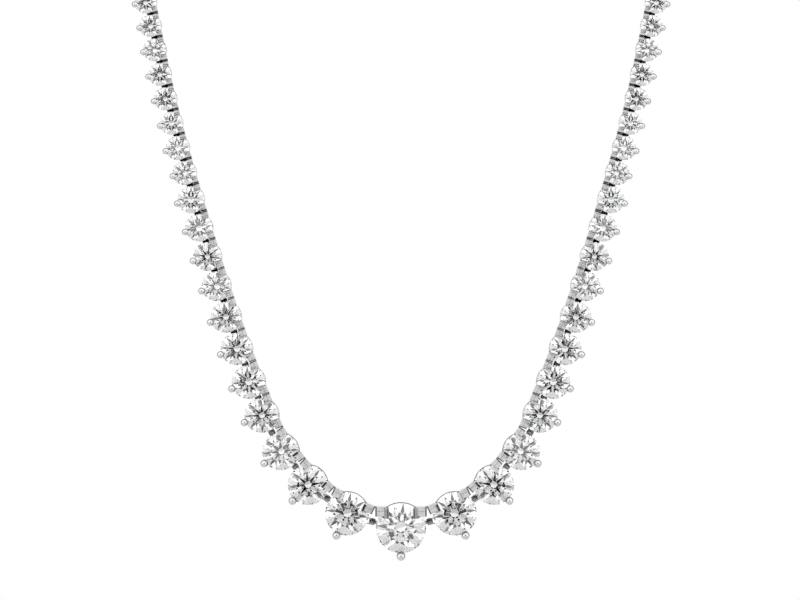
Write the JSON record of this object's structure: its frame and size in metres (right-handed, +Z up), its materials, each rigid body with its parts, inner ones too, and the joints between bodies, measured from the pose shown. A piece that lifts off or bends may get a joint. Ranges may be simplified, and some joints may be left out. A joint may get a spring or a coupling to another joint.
{
  "type": "riviere necklace",
  "caption": "Graduated riviere necklace: round brilliants in three-prong settings, hooked into a closed loop with a V-shaped front and a box clasp at the nape.",
  "frame": {"origin": "the middle of the clasp's inner face, where the loop lies on the nape", "axes": "+Z up, -Y to the front that the stones of the V face, X across from one shoulder to the other"},
  "size_m": [0.1064, 0.0896, 0.1285],
  "materials": {
    "white_gold": "polished",
    "diamond": "faceted, polished"
  },
  "bodies": {
    "root": {"centre_setting": "white_gold", "setting_right_1": "white_gold", "setting_right_2": "white_gold", "setting_right_3": "white_gold", "setting_right_4": "white_gold", "setting_right_5": "white_gold", "setting_right_6": "white_gold", "setting_right_7": "white_gold", "setting_right_8": "white_gold", "setting_right_9": "white_gold", "setting_left_1": "white_gold", "setting_left_2": "white_gold", "setting_left_3": "white_gold", "setting_left_4": "white_gold", "setting_left_5": "white_gold", "setting_left_6": "white_gold", "setting_left_7": "white_gold", "setting_left_8": "white_gold", "setting_left_9": "white_gold", "side_settings_right": "white_gold", "side_settings_left": "white_gold", "back_settings_right": "white_gold", "back_settings_left": "white_gold", "clasp": "white_gold", "centre_stone": "diamond", "stone_right_1": "diamond", "stone_right_2": "diamond", "stone_right_3": "diamond", "stone_right_4": "diamond", "stone_right_5": "diamond", "stone_right_6": "diamond", "stone_right_7": "diamond", "stone_right_8": "diamond", "stone_right_9": "diamond", "stone_left_1": "diamond", "stone_left_2": "diamond", "stone_left_3": "diamond", "stone_left_4": "diamond", "stone_left_5": "diamond", "stone_left_6": "diamond", "stone_left_7": "diamond", "stone_left_8": "diamond", "stone_left_9": "diamond", "side_stones_right": "diamond", "side_stones_left": "diamond", "back_stones_right": "diamond", "back_stones_left": "diamond"}
  },
  "joints": []
}
